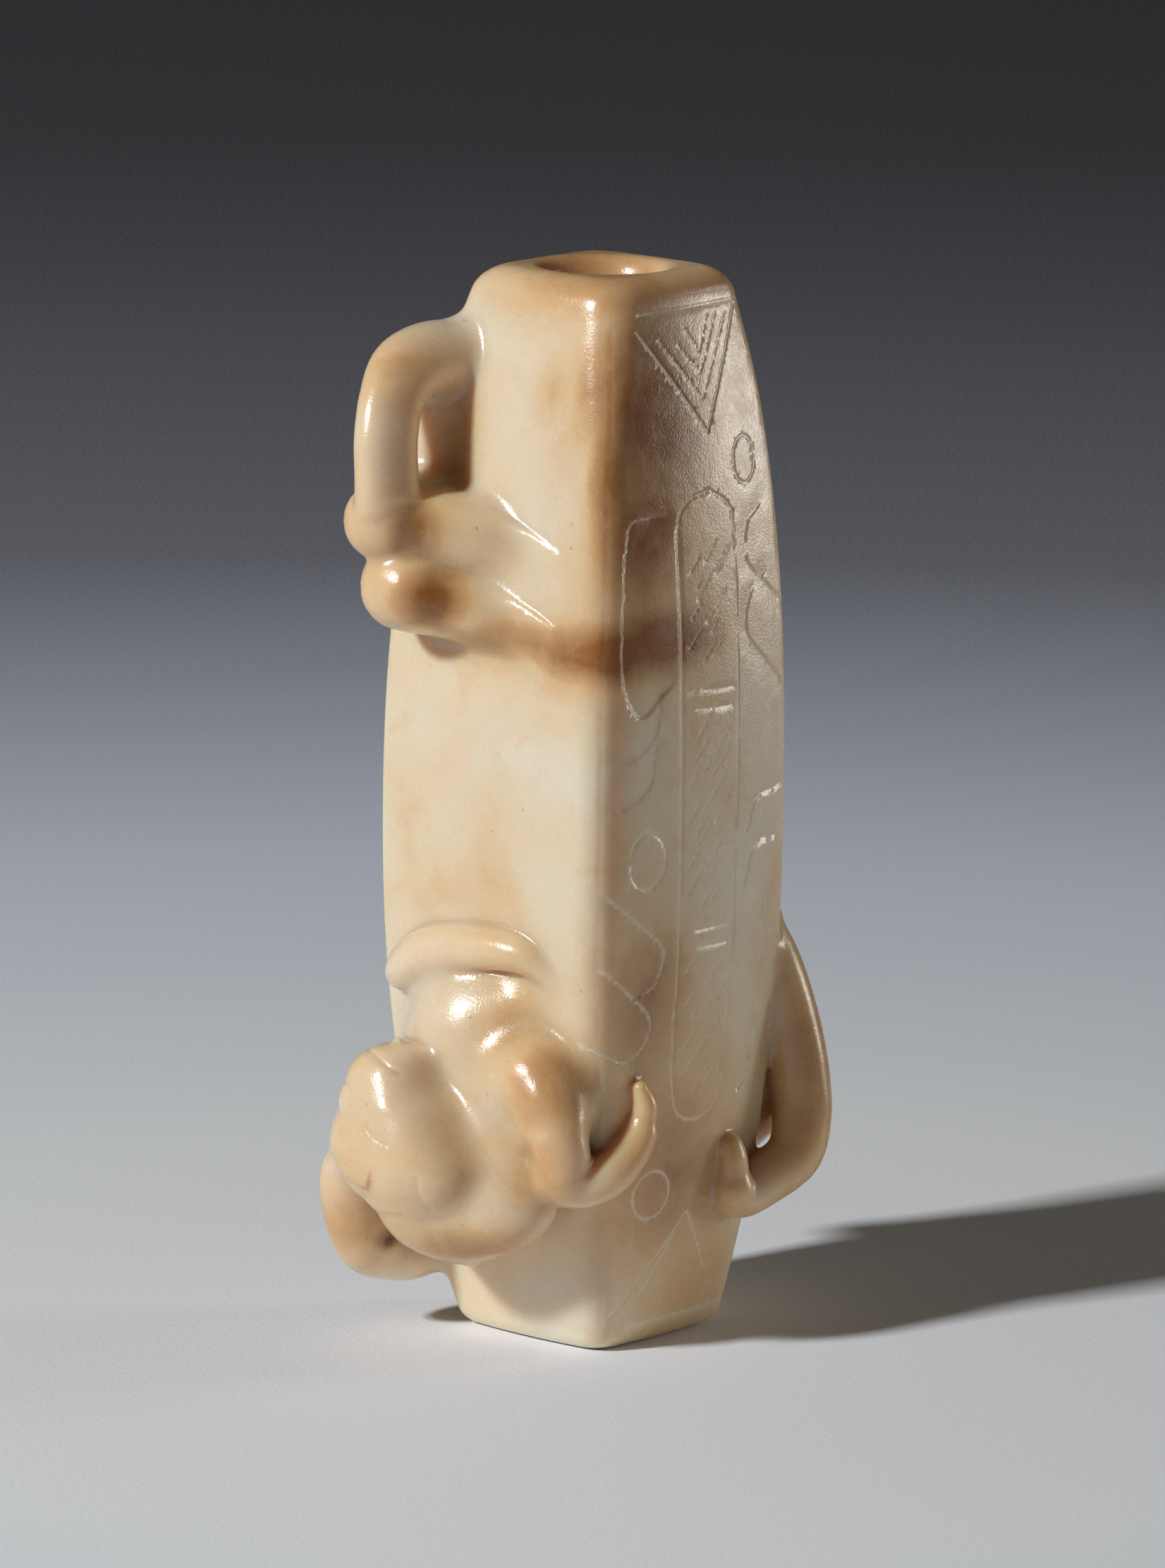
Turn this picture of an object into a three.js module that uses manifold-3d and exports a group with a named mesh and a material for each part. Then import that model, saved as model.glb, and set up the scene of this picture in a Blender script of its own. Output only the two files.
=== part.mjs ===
// Carved jade tube pendant. A square tube with barrel sides is bored right through for a cord, and a hornless
// dragon is carved in high relief on the front face: its tail loop and thighs high on the left arris, its collar,
// chest, head and forelegs near the foot. A second dragon on the back face reaches round with one foreleg.
// Millimetres, +Z up. The origin is the middle of the foot, on the axis of the bore.
// The faces look along -Y (front), +X (right), +Y (back) and -X (left), so angles round the axis are
// -90, 0, 90 and 180 degrees there, and the four arrises lie at the odd multiples of 45 degrees.
import * as THREE from 'three';
import { mergeVertices } from 'three/addons/utils/BufferGeometryUtils.js';
import Module from 'manifold-3d';

const wasm = await Module();
wasm.setup();

// Driving dimensions of the tube.
const HEIGHT = 72;
const MIDDLE_HALF_DIAGONAL = 13.55;
const END_HALF_DIAGONAL = 8.58;
const BARREL_POWER = 2.35;
const FACE_CROWN = 0.7; // how far a face swells out of the flat square, at mid height
const BOW = 0.9; // how far the outside bows off the bore's axis
const BOW_ANGLE = -135; // towards the front left arris
const RIM_DROP = 1.7;
const RIM_INSET = 1.5;
const RIM_CORNER_EXTRA = 0.6; // the rim takes this much more off an arris than off a face
const LIP_RADIUS = 4.5;
const BORE_RADIUS = 3.6;
const LIP_DEPTH = 1.6;

// The carved members are parted along the carver's lines by this width.
const SEAM = 0.3;

// Facets.
const TUBE_SIDES = 40;
const TUBE_ROWS = 20;
const RIM_ROWS = 4;
const LIMB_SIDES = 10;
const LIMB_STEPS = 2; // rows between two stations of a limb
const MOUND_SIDES = 16;
const MOUND_STEPS = 2;
const BALL_ROWS = 6;
const DOME_TURNS = [24, 56]; // degrees, the rows of a limb's domed end

const degrees = Math.PI / 180;

// Half the diagonal of the square section at a height.
function halfDiagonal(z) {
  const fromMiddle = Math.abs((2 * z) / HEIGHT - 1);
  return MIDDLE_HALF_DIAGONAL - (MIDDLE_HALF_DIAGONAL - END_HALF_DIAGONAL) * fromMiddle ** BARREL_POWER;
}

// Sideways shift of the section at a height.
function bowAt(z) {
  const fromMiddle = (2 * z) / HEIGHT - 1;
  const shift = BOW * Math.max(0, 1 - fromMiddle ** 2);
  return new THREE.Vector3(shift * Math.cos(BOW_ANGLE * degrees), shift * Math.sin(BOW_ANGLE * degrees), 0);
}

// Angle from the middle of the nearest face, in radians.
function offFace(angle) {
  return (((((angle + 45) % 90) + 90) % 90) - 45) * degrees;
}

// Distance from the section's centre to the outside, at an angle in degrees.
function sectionRadius(angle, z) {
  const half = halfDiagonal(z);
  const off = offFace(angle);
  const crown = (FACE_CROWN * half) / MIDDLE_HALF_DIAGONAL;
  return (half * Math.SQRT1_2) / Math.cos(off) + crown * Math.cos(2 * off);
}

function polar(angle, radius, z) {
  return new THREE.Vector3(radius * Math.cos(angle * degrees), radius * Math.sin(angle * degrees), z);
}

// A place beside the tube: an angle round the axis, a lift off the surface and a height.
function around(angle, lift, z) {
  return polar(angle, sectionRadius(angle, z) + lift, z).add(bowAt(z));
}

// A place in front of a face, seen square on: a distance across to the right, a lift and a height.
function facing(faceAngle, across, lift, z) {
  const place = polar(faceAngle, sectionRadius(faceAngle, z) + lift, z).add(bowAt(z));
  return place.add(polar(faceAngle + 90, across, 0));
}

// A closed skin through rings of points that run anticlockwise about the way the rings advance. A looped skin
// joins its last ring to its first. Any other is closed by a fan at each end.
function skin(rings, looped) {
  const sides = rings[0].length;
  const points = rings.flat();
  const faces = [];
  const bands = looped ? rings.length : rings.length - 1;
  for (let row = 0; row < bands; row++) {
    const below = row * sides;
    const above = ((row + 1) % rings.length) * sides;
    for (let side = 0; side < sides; side++) {
      const next = (side + 1) % sides;
      faces.push(below + side, below + next, above + next);
      faces.push(below + side, above + next, above + side);
    }
  }
  if (!looped) {
    const last = (rings.length - 1) * sides;
    const start = points.push(middleOf(rings[0])) - 1;
    const end = points.push(middleOf(rings[rings.length - 1])) - 1;
    for (let side = 0; side < sides; side++) {
      const next = (side + 1) % sides;
      faces.push(start, next, side);
      faces.push(end, last + side, last + next);
    }
  }
  const geometry = new THREE.BufferGeometry();
  const numbers = points.flatMap((point) => point.toArray());
  geometry.setAttribute('position', new THREE.Float32BufferAttribute(numbers, 3));
  geometry.setIndex(faces);
  return geometry;
}

function middleOf(ring) {
  const sum = ring.reduce((total, point) => total.add(point), new THREE.Vector3());
  return sum.divideScalar(ring.length);
}

// A geometry as a solid that can be cut, and a solid back as a geometry.
function solidOf(geometry) {
  const merged = mergeVertices(geometry, 1e-4);
  const mesh = new wasm.Mesh({
    numProp: 3,
    vertProperties: merged.attributes.position.array,
    triVerts: new Uint32Array(merged.index.array),
  });
  return new wasm.Manifold(mesh);
}

function geometryOf(solid) {
  const mesh = solid.getMesh();
  const geometry = new THREE.BufferGeometry();
  geometry.setAttribute('position', new THREE.BufferAttribute(new Float32Array(mesh.vertProperties), 3));
  geometry.setIndex(new THREE.BufferAttribute(new Uint32Array(mesh.triVerts), 1));
  geometry.computeVertexNormals();
  return geometry;
}

// One ring of the tube's outside. Inset is how far a rim has drawn it in.
function tubeRing(z, inset) {
  const ring = [];
  for (let side = 0; side < TUBE_SIDES; side++) {
    const angle = (360 * side) / TUBE_SIDES - 45;
    const atCorner = Math.sin(2 * offFace(angle)) ** 2;
    const radius = sectionRadius(angle, z) - inset * (1 + RIM_CORNER_EXTRA * atCorner);
    ring.push(polar(angle, radius, z).add(bowAt(z)));
  }
  return ring;
}

function boreRing(radius, z) {
  const ring = [];
  for (let side = 0; side < TUBE_SIDES; side++) ring.push(polar((360 * side) / TUBE_SIDES - 45, radius, z));
  return ring;
}

// The tube with its rounded rims, and its bore with a bell mouth at each end.
function tubeGeometry() {
  const rim = [];
  for (let row = 0; row <= RIM_ROWS; row++) {
    const turn = (row / RIM_ROWS) * (Math.PI / 2);
    rim.push({ depth: RIM_DROP * (1 - Math.sin(turn)), inset: RIM_INSET * (1 - Math.cos(turn)) });
  }
  const rings = rim.map(({ depth, inset }) => tubeRing(depth, inset)).reverse();
  for (let row = 1; row < TUBE_ROWS; row++) {
    rings.push(tubeRing(THREE.MathUtils.lerp(RIM_DROP, HEIGHT - RIM_DROP, row / TUBE_ROWS), 0));
  }
  rings.push(...rim.map(({ depth, inset }) => tubeRing(HEIGHT - depth, inset)));
  const mouth = [
    { radius: LIP_RADIUS, depth: 0 },
    { radius: THREE.MathUtils.lerp(BORE_RADIUS, LIP_RADIUS, 0.4), depth: LIP_DEPTH / 3 },
    { radius: BORE_RADIUS, depth: LIP_DEPTH },
  ];
  rings.push(...mouth.map(({ radius, depth }) => boreRing(radius, HEIGHT - depth)));
  rings.push(...mouth.map(({ radius, depth }) => boreRing(radius, depth)).reverse());
  return skin(rings, true);
}

// The tube without its bore, swollen, which parts the carving from the tube.
function tubeBlank(swell) {
  const rings = [];
  for (let row = 0; row <= TUBE_ROWS; row++) rings.push(tubeRing((HEIGHT * row) / TUBE_ROWS, -swell));
  return skin(rings, false);
}

// A limb: a round rod through stations, each a place and a radius, with domed ends.
function limb(stations, swell) {
  const curve = new THREE.CatmullRomCurve3(stations.map(({ place }) => place), false, 'centripetal');
  const spans = stations.length - 1;
  const girth = new THREE.CubicInterpolant(stations.map((_, index) => index), stations.map(({ radius }) => radius), 1);
  const steps = spans * LIMB_STEPS;
  const frames = curve.computeFrenetFrames(steps, false);
  const ringAt = (step, turn, along) => {
    const share = step / steps;
    const radius = girth.evaluate(curve.getUtoTmapping(share) * spans)[0] + swell;
    const centre = curve.getPointAt(share).addScaledVector(frames.tangents[step], along * radius * Math.cos(turn));
    const ring = [];
    for (let side = 0; side < LIMB_SIDES; side++) {
      const angle = (2 * Math.PI * side) / LIMB_SIDES;
      const spoke = radius * Math.sin(turn);
      const point = centre.clone().addScaledVector(frames.normals[step], spoke * Math.cos(angle));
      ring.push(point.addScaledVector(frames.binormals[step], spoke * Math.sin(angle)));
    }
    return ring;
  };
  const rings = DOME_TURNS.map((turn) => ringAt(0, turn * degrees, -1));
  for (let step = 0; step <= steps; step++) rings.push(ringAt(step, Math.PI / 2, 0));
  rings.push(...[...DOME_TURNS].reverse().map((turn) => ringAt(steps, turn * degrees, 1)));
  return skin(rings, false);
}

// A mound on a face: level ellipses, each [across, lift, height, half width, half depth], lowest first.
function mound(faceAngle, sections, swell) {
  const size = sections[0].length;
  const profile = new THREE.CubicInterpolant(sections.map((_, index) => index), sections.flat(), size);
  const steps = (sections.length - 1) * MOUND_STEPS;
  const rings = [];
  for (let step = 0; step <= steps; step++) {
    const [across, lift, level, halfWidth, halfDepth] = profile.evaluate(step / MOUND_STEPS);
    const end = step === 0 ? -1 : step === steps ? 1 : 0;
    const ring = [];
    for (let side = 0; side < MOUND_SIDES; side++) {
      const angle = (2 * Math.PI * side) / MOUND_SIDES;
      const out = lift + (halfDepth + swell) * Math.cos(angle);
      const right = across + (halfWidth + swell) * Math.sin(angle);
      const point = facing(faceAngle, right, 0, level).add(polar(faceAngle, out, end * swell));
      ring.push(point);
    }
    rings.push(ring);
  }
  return skin(rings, false);
}

function ball(place, radius) {
  const geometry = new THREE.SphereGeometry(radius, LIMB_SIDES, BALL_ROWS);
  geometry.deleteAttribute('normal');
  geometry.deleteAttribute('uv');
  return geometry.translate(place.x, place.y, place.z);
}

// The carved members in the order of carving: each is cut back from the tube and from the members before it.
const members = [];

function addLimb(name, stations) {
  members.push({ name, make: (swell) => solidOf(limb(stations, swell)) });
}

function addMound(name, faceAngle, sections) {
  members.push({ name, make: (swell) => solidOf(mound(faceAngle, sections, swell)) });
}

// A head is a mound with a ball for each eye.
function addHead(name, faceAngle, sections, eyes) {
  const make = (swell) => {
    let solid = solidOf(mound(faceAngle, sections, swell));
    for (const { place, radius } of eyes) solid = solid.add(solidOf(ball(place, radius + swell)));
    return solid;
  };
  members.push({ name, make });
}

// Stations from rows of [angle, lift, height, radius] round the tube, or [across, lift, height, radius] on a face.
function roundStations(rows) {
  return rows.map(([angle, lift, z, radius]) => ({ place: around(angle, lift, z), radius }));
}

function faceStations(faceAngle, rows) {
  return rows.map(([across, lift, z, radius]) => ({ place: facing(faceAngle, across, lift, z), radius }));
}

// A dragon's head, ears, chest and collar on a face. The head is folded back on the chest, so its snout points up.
// Stand scales how far the carving stands out of the face, and rise moves all of it up the tube.
function addDragon(name, faceAngle, stand, rise) {
  const raised = (rows) => rows.map(([across, lift, z, ...sizes]) => [across, lift * stand, z + rise, ...sizes]);
  const head = raised([
    [-2.5, 6.4, 10.6, 1.4, 1.0],
    [-2.6, 6.7, 11.4, 3.2, 2.2],
    [-2.7, 6.9, 12.8, 4.3, 2.8],
    [-3.0, 6.8, 14.6, 4.4, 3.0],
    [-3.4, 6.5, 16.6, 3.9, 3.0],
    [-3.9, 6.0, 18.4, 3.2, 2.8],
    [-4.3, 5.5, 20.0, 2.6, 2.5],
    [-4.6, 5.0, 21.2, 1.8, 1.9],
    [-4.7, 4.7, 21.8, 0.8, 0.9],
  ]);
  const chest = raised([
    [-1.2, 4.4, 6.5, 1.6, 1.0],
    [-1.0, 4.3, 7.2, 4.6, 2.6],
    [-0.8, 4.1, 8.8, 6.8, 3.8],
    [-0.8, 3.6, 11.0, 7.6, 4.2],
    [-1.0, 2.6, 13.5, 7.2, 4.2],
    [-1.4, 1.4, 17.0, 6.8, 4.0],
    [-1.5, 0.6, 20.5, 6.8, 3.8],
    [-1.6, 0.2, 23.5, 6.2, 3.0],
    [-1.6, -0.4, 25.4, 4.4, 1.6],
  ]);
  const rightEar = raised([
    [-0.2, 8.4, 14.6, 0.8],
    [0.7, 7.8, 12.9, 1.3],
    [0.6, 7.2, 11.3, 1.2],
  ]);
  const leftEar = raised([
    [-5.6, 8.4, 14.4, 0.8],
    [-6.4, 7.8, 12.7, 1.3],
    [-6.2, 7.2, 11.1, 1.2],
  ]);
  const eyes = raised([
    [-2.5, 8.3, 17.8, 0.95],
    [-5.5, 8.1, 17.8, 0.95],
  ]);
  const collar = raised([
    [-7.2, 0.3, 23.5, 0.8],
    [-6.8, 0.5, 25.4, 1.2],
    [-4.2, 0.6, 27.3, 1.35],
    [-0.9, 0.6, 28.1, 1.4],
    [2.6, 0.5, 27.6, 1.35],
    [5.3, 0.5, 26.2, 1.15],
    [6.4, 0.3, 24.6, 0.8],
  ]);
  addLimb(`${name}_ear_right`, faceStations(faceAngle, rightEar));
  addLimb(`${name}_ear_left`, faceStations(faceAngle, leftEar));
  addHead(`${name}_head`, faceAngle, head, faceStations(faceAngle, eyes));
  addMound(`${name}_chest`, faceAngle, chest);
  addLimb(`${name}_collar`, faceStations(faceAngle, collar));
}

addDragon('front', -90, 1, 0);

// Front dragon's right foreleg: down the face, round the right arris, with its claw up the right face.
addLimb('front_right_upper_foreleg', faceStations(-90, [
  [2.0, 1.5, 20.5, 1.9],
  [4.2, 2.1, 20.5, 2.1],
  [5.5, 2.3, 18.5, 2.05],
  [6.0, 2.1, 15.8, 2.0],
  [6.5, 1.8, 13.8, 1.9],
]));
addLimb('front_right_lower_foreleg', roundStations([
  [-56, 1.9, 12.9, 1.8],
  [-47, 1.2, 12.7, 1.65],
  [-38, 1.0, 13.4, 1.4],
  [-29, 1.0, 14.8, 1.15],
  [-24, 0.9, 15.9, 1.0],
]));
addLimb('front_right_claw', roundStations([
  [-22.5, 0.8, 16.6, 0.75],
  [-21.5, 0.8, 17.9, 0.75],
  [-24, 0.7, 19.4, 0.4],
]));

// Front dragon's left foreleg: out past the left arris and back to the tube near the foot.
addLimb('front_left_upper_foreleg', roundStations([
  [-116, 5.8, 13.4, 2.1],
  [-123, 6.2, 11.0, 2.2],
  [-127, 6.1, 7.8, 2.15],
  [-130, 5.2, 5.7, 2.05],
]));
addLimb('front_left_lower_foreleg', roundStations([
  [-133, 4.0, 4.8, 1.95],
  [-139, 2.3, 4.7, 1.85],
  [-147, 1.2, 5.5, 1.65],
  [-155, 0.9, 6.8, 1.4],
]));
addLimb('front_left_claw', roundStations([
  [-158, 0.8, 8.4, 0.8],
  [-159, 0.8, 9.8, 0.8],
  [-157, 0.7, 11.4, 0.4],
]));

// Front dragon's thighs and tail, high on the left arris. The tail leaves the tube and loops back to the hip.
addLimb('hip_knob', roundStations([
  [-121, 4.3, 56.4, 1.75],
  [-121, 4.6, 54.6, 1.8],
]));
addLimb('upper_thigh', roundStations([
  [-118, 2.6, 55.6, 2.3],
  [-108, 0.4, 55.6, 2.6],
  [-96, -0.9, 55.0, 2.6],
  [-80, -1.6, 54.0, 2.5],
  [-65, -2.1, 53.0, 2.4],
]));
addLimb('lower_thigh', roundStations([
  [-121, 2.7, 51.4, 2.3],
  [-112, 1.2, 50.6, 2.6],
  [-100, -0.4, 50.0, 2.7],
  [-84, -1.3, 48.8, 2.6],
  [-69, -1.9, 47.2, 2.3],
]));
addLimb('tail_loop', roundStations([
  [-121, -0.6, 66.0, 1.95],
  [-121, 2.0, 66.5, 2.0],
  [-121.5, 4.3, 65.5, 2.05],
  [-122, 5.0, 63.0, 2.05],
  [-122, 4.6, 60.5, 2.0],
  [-122, 4.2, 58.2, 1.9],
]));

// Back dragon: lower in relief, and higher up the tube.
addDragon('back', 90, 0.75, 3);
addLimb('back_left_upper_foreleg', roundStations([
  [54, -0.4, 28.0, 1.6],
  [52, 1.0, 24.5, 1.9],
  [51, 2.2, 20.5, 2.1],
  [50, 3.1, 16.5, 2.15],
  [49, 3.6, 13.4, 2.1],
]));
addLimb('back_left_lower_foreleg', roundStations([
  [46, 3.1, 10.8, 2.0],
  [40, 1.8, 9.3, 1.8],
  [33, 1.0, 9.0, 1.6],
  [28, 0.8, 9.8, 1.5],
]));
addLimb('back_left_claw', roundStations([
  [27, 0.8, 11.0, 1.0],
  [26, 0.8, 12.4, 0.8],
  [25.5, 0.6, 13.6, 0.4],
]));
addLimb('back_right_upper_foreleg', faceStations(90, [
  [2.6, 1.0, 23.4, 1.9],
  [5.2, 1.6, 23.4, 2.0],
  [6.9, 1.8, 21.4, 2.0],
  [7.7, 1.7, 18.6, 1.9],
  [8.2, 1.4, 16.6, 1.8],
]));
addLimb('back_right_lower_foreleg', roundStations([
  [128, 1.9, 15.9, 1.75],
  [135, 1.3, 16.2, 1.6],
  [142, 1.1, 17.2, 1.35],
  [147, 1.0, 18.4, 1.15],
]));
addLimb('back_right_claw', roundStations([
  [149, 0.9, 19.4, 0.75],
  [150, 0.9, 20.8, 0.8],
  [148, 0.8, 22.5, 0.4],
]));

// The object.
const STONE = 0xe2d0ab;
const RUSSET = 0xcfae85;
const pendant = new THREE.Group();

function addMesh(name, geometry, colour) {
  const material = new THREE.MeshStandardMaterial({ color: colour, roughness: 0.35, metalness: 0 });
  const mesh = new THREE.Mesh(geometry, material);
  mesh.name = name;
  pendant.add(mesh);
}

addMesh('tube', tubeGeometry(), STONE);
const tubeCutter = solidOf(tubeBlank(SEAM));
members.forEach((member, index) => {
  let solid = member.make(0).subtract(tubeCutter);
  for (const earlier of members.slice(0, index)) solid = solid.subtract(earlier.make(SEAM));
  const bodies = solid.decompose().sort((a, b) => b.volume() - a.volume());
  const high = /tail|hip|thigh/.test(member.name);
  addMesh(member.name, geometryOf(bodies[0]), high ? RUSSET : STONE);
});

export default pendant;
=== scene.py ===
"""Dresses the carved jade tube pendant.

The stone is one continuous mesh, carved as a distance field in millimetres and lit as in the photograph.
"""
import itertools
import math

import bpy
import numpy as np
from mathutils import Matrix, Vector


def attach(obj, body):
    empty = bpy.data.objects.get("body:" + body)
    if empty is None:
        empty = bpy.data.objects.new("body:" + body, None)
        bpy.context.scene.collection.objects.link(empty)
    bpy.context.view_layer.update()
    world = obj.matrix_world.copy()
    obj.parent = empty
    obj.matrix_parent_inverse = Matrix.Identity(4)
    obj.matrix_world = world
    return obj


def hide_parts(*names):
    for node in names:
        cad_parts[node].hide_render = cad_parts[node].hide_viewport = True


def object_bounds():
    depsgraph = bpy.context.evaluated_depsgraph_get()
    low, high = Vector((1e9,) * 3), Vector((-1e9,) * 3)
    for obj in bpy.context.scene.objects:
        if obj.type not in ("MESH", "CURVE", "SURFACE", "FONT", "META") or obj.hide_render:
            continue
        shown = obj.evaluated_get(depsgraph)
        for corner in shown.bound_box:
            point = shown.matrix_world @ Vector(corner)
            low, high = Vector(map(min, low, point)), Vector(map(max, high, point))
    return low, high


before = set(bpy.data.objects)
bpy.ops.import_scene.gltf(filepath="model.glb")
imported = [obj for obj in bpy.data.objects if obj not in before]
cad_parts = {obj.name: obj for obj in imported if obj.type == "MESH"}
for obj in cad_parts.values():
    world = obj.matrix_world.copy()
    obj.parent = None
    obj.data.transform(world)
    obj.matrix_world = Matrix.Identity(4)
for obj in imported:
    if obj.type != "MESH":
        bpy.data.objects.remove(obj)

import openvdb
from mathutils import Matrix, Vector

cad_low, cad_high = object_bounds()

# Driving dimensions of the tube, in millimetres. Those down to BOW_ANGLE are the solid model's own.
HEIGHT = 72.0
MIDDLE_HALF_DIAGONAL = 13.55
END_HALF_DIAGONAL = 8.58
BARREL_POWER = 2.35  # how late the sides fall away from mid height
FACE_CROWN = 0.7  # how far a face swells out of the flat square, at mid height
BOW = 0.9  # how far the outside bows off the bore's axis
BOW_ANGLE = -135
TOP_RIM = 1.6  # radius of the rounded rim
FOOT_RIM = 1.1
LIP_RADIUS = 4.4  # of the bore's worn mouth
BORE_RADIUS = 3.6
LIP_DEPTH = 1.6
LIP_EASE = 0.4  # how far the mouth's edge is eased
OUTSIDE_BORE = LIP_RADIUS + 0.5  # the faces lie further out than this, and the bore doesn't
ARRIS = 0.5  # how far an arris is eased, low on the tube
ARRIS_TOP = 1.4  # and at its top
ARRIS_TOP_FROM = 62.0  # the height where that starts
ARRIS_FRONT = 1.3  # how much more the arris between the front and right faces is eased
ARRIS_FRONT_REACH = (4.0, 10.0)  # how far out, towards that arris, this comes in

# Faces of the tube that carry the dragons, as angles round its axis.
FRONT, BACK = -90, 90

# Grid of the distance field.
VOXEL = 0.2
FINE_VOXEL = VOXEL / 2  # once the field is doubled
MARGIN = 2.0  # round the solid model's box
REACH = 3.5  # how far from a member its distance is worked out
FAR = 50.0  # stands for a distance that isn't worked out
STEEPNESS = (0.3, 1.6)  # the least and the most by which a mound's distance is evened out
TINY = 1e-9  # the least that is divided by
BAND = 4 * FINE_VOXEL  # how far from the surface the meshed field goes
GRID_TOLERANCE = 1e-6
ADAPTIVITY = 0.055  # how readily flat stretches of the mesh are merged
MILLIMETRE = 0.001  # in metres
HOLLOW_REACH = 0.4  # how far out hollows are felt for

# Tail loop on the front face: [across, lift, height, radius]. Its arm is deeper than it is wide.
TAIL_LOOP = [
    [-6.6, -1.2, 65.6, 2.1],
    [-6.6, 0.9, 66.0, 2.1],
    [-6.7, 3.3, 65.6, 1.8],
    [-6.2, 5.1, 63.8, 1.35],
    [-5.7, 5.7, 61.4, 1.25],
    [-5.4, 5.5, 59.0, 1.25],
    [-5.3, 5.1, 57.0, 1.35],
]
TAIL_LOOP_DEEPER = (-0.3, 0.95)  # how far its section is drawn out each way, across and along the lift
# The left arris, kept full inside the tail loop: [angle round the tube, lift, height, radius].
ARRIS_WEB = [
    [-133, -1.0, 66.5, 1.5],
    [-133, -0.5, 61.0, 1.7],
    [-131, -0.4, 56.5, 1.8],
]

# Hip on the front face, two rounded ends, and the thighs that leave it and sink into the face:
# [across, lift, height, radius].
HIP_KNOB = [[-5.5, -2.0, 55.5, 2.8], [-5.9, 1.0, 55.7, 2.9], [-6.2, 4.3, 55.7, 2.65]]
HIP_LOBE = [[-4.6, -2.0, 51.0, 2.8], [-5.0, 1.0, 51.2, 2.95], [-5.2, 2.7, 51.3, 2.95]]
UPPER_THIGH = [
    [-4.7, 2.4, 55.3, 2.4],
    [-3.0, 0.8, 55.1, 2.5],
    [-1.0, -0.7, 54.7, 2.45],
    [1.2, -2.1, 53.8, 2.0],
]
LOWER_THIGH = [
    [-4.5, 1.6, 50.9, 2.7],
    [-3.0, 0.4, 50.4, 2.65],
    [-1.0, -0.8, 49.7, 2.5],
    [1.2, -2.1, 48.8, 2.0],
]

# The thighs' low relief on the front face. Their edges, top to bottom, are lines of [across, height]. The
# pair's stand out of the face, and the lower thigh's out of the upper one, are lines of [across, stand].
THIGH_TOP = [[-6.5, 57.8], [-2.6, 57.6], [-1.2, 57.2], [2.7, 55.8], [6.1, 54.3], [9.5, 52.8]]
THIGH_PARTING = [[-9.0, 53.2], [-4.7, 53.3], [0.8, 51.9], [3.3, 50.9], [5.4, 49.9], [9.5, 47.8]]
THIGH_FOOT = [[-10.0, 48.2], [-5.3, 47.9], [-1.0, 47.6], [0.2, 47.3], [2.7, 46.3], [5.3, 44.5], [9.5, 41.5]]
THIGH_STAND = [
    [-5.5, 0.0], [-4.4, 0.1], [-2.4, 0.6], [0.0, 0.8], [3.0, 0.5], [5.0, 0.25], [6.4, 0.08], [7.5, 0.0],
    [9.0, 0.0],
]
PARTING_STAND = [
    [-1.0, 0.0], [0.8, 0.04], [2.5, 0.16], [4.0, 0.2], [5.0, 0.16], [5.8, 0.04], [6.5, 0.0], [9.0, 0.0],
]
# What the edge stands out, then falls back, and what the body rises, as shares of the stand.
THIGH_EDGE = 0.4
THIGH_EDGE_DROP = 0.2
THIGH_BODY = 0.7
# Where they do so, and where the thighs roll off, as shares of the way down.
THIGH_EDGE_RISE = (0.0, 0.04)
THIGH_EDGE_FALL = (0.05, 0.18)
THIGH_BODY_RISE = (0.15, 0.75)
THIGH_ROLL_OFF = (0.8, 1.0)
# Where the lower thigh's step rises and fades, below the parting.
PARTING_RISE = (0.0, 0.4)
PARTING_FALL = (0.5, 2.0)

# A dragon's forms on its face, [across, lift, height, half width, half depth] for a mound of level sections
# and [across, lift, height, radius] for a rod or a ball.
HEAD = [
    [-1.6, 5.8, 10.0, 0.8, 1.4],
    [-1.8, 5.4, 10.4, 2.6, 2.7],
    [-2.0, 5.1, 11.2, 4.2, 3.6],
    [-2.3, 5.0, 12.0, 5.1, 4.2],
    [-2.6, 5.0, 13.0, 5.6, 4.5],
    [-2.9, 4.9, 14.0, 5.6, 4.6],
    [-3.2, 4.7, 15.3, 5.1, 4.5],
    [-3.3, 4.6, 16.5, 4.4, 4.2],
    [-3.4, 4.6, 17.3, 3.9, 3.9],
    [-3.8, 4.5, 18.3, 3.3, 3.6],
    [-4.0, 4.4, 19.2, 2.9, 3.3],
    [-4.0, 4.4, 19.9, 2.5, 2.8],
    [-3.9, 4.4, 20.4, 2.0, 2.2],
    [-3.8, 4.4, 20.8, 1.3, 1.4],
    [-3.8, 4.4, 21.0, 0.5, 0.5],
]
HEAD_SQUARENESS = 2.4
NECK = [[-2.4, 5.7, 12.4, 3.2], [-1.7, 4.9, 10.6, 3.4], [-0.9, 4.0, 9.4, 3.0]]
CHEST = [
    [0.6, 4.0, 6.7, 0.5, 0.4],
    [0.5, 3.9, 7.0, 2.0, 1.3],
    [0.2, 3.6, 7.8, 4.3, 2.7],
    [-0.2, 3.2, 9.2, 6.2, 3.9],
    [-0.4, 2.4, 11.0, 7.0, 4.5],
    [-0.7, 1.2, 13.5, 7.0, 4.6],
    [-1.1, -0.2, 17.0, 6.9, 4.5],
    [-1.0, -1.2, 19.6, 6.8, 4.3],
    [-0.9, -1.9, 22.0, 6.7, 4.1],
    [-0.8, -2.3, 24.0, 6.5, 3.8],
    [-0.7, -2.4, 25.0, 6.0, 3.3],
    [-0.6, -2.4, 25.7, 4.6, 2.4],
    [-0.5, -2.4, 26.2, 1.5, 0.8],
]
SHOULDER_BALL = [[-1.6, -1.3, 21.3, 4.6]]
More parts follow.
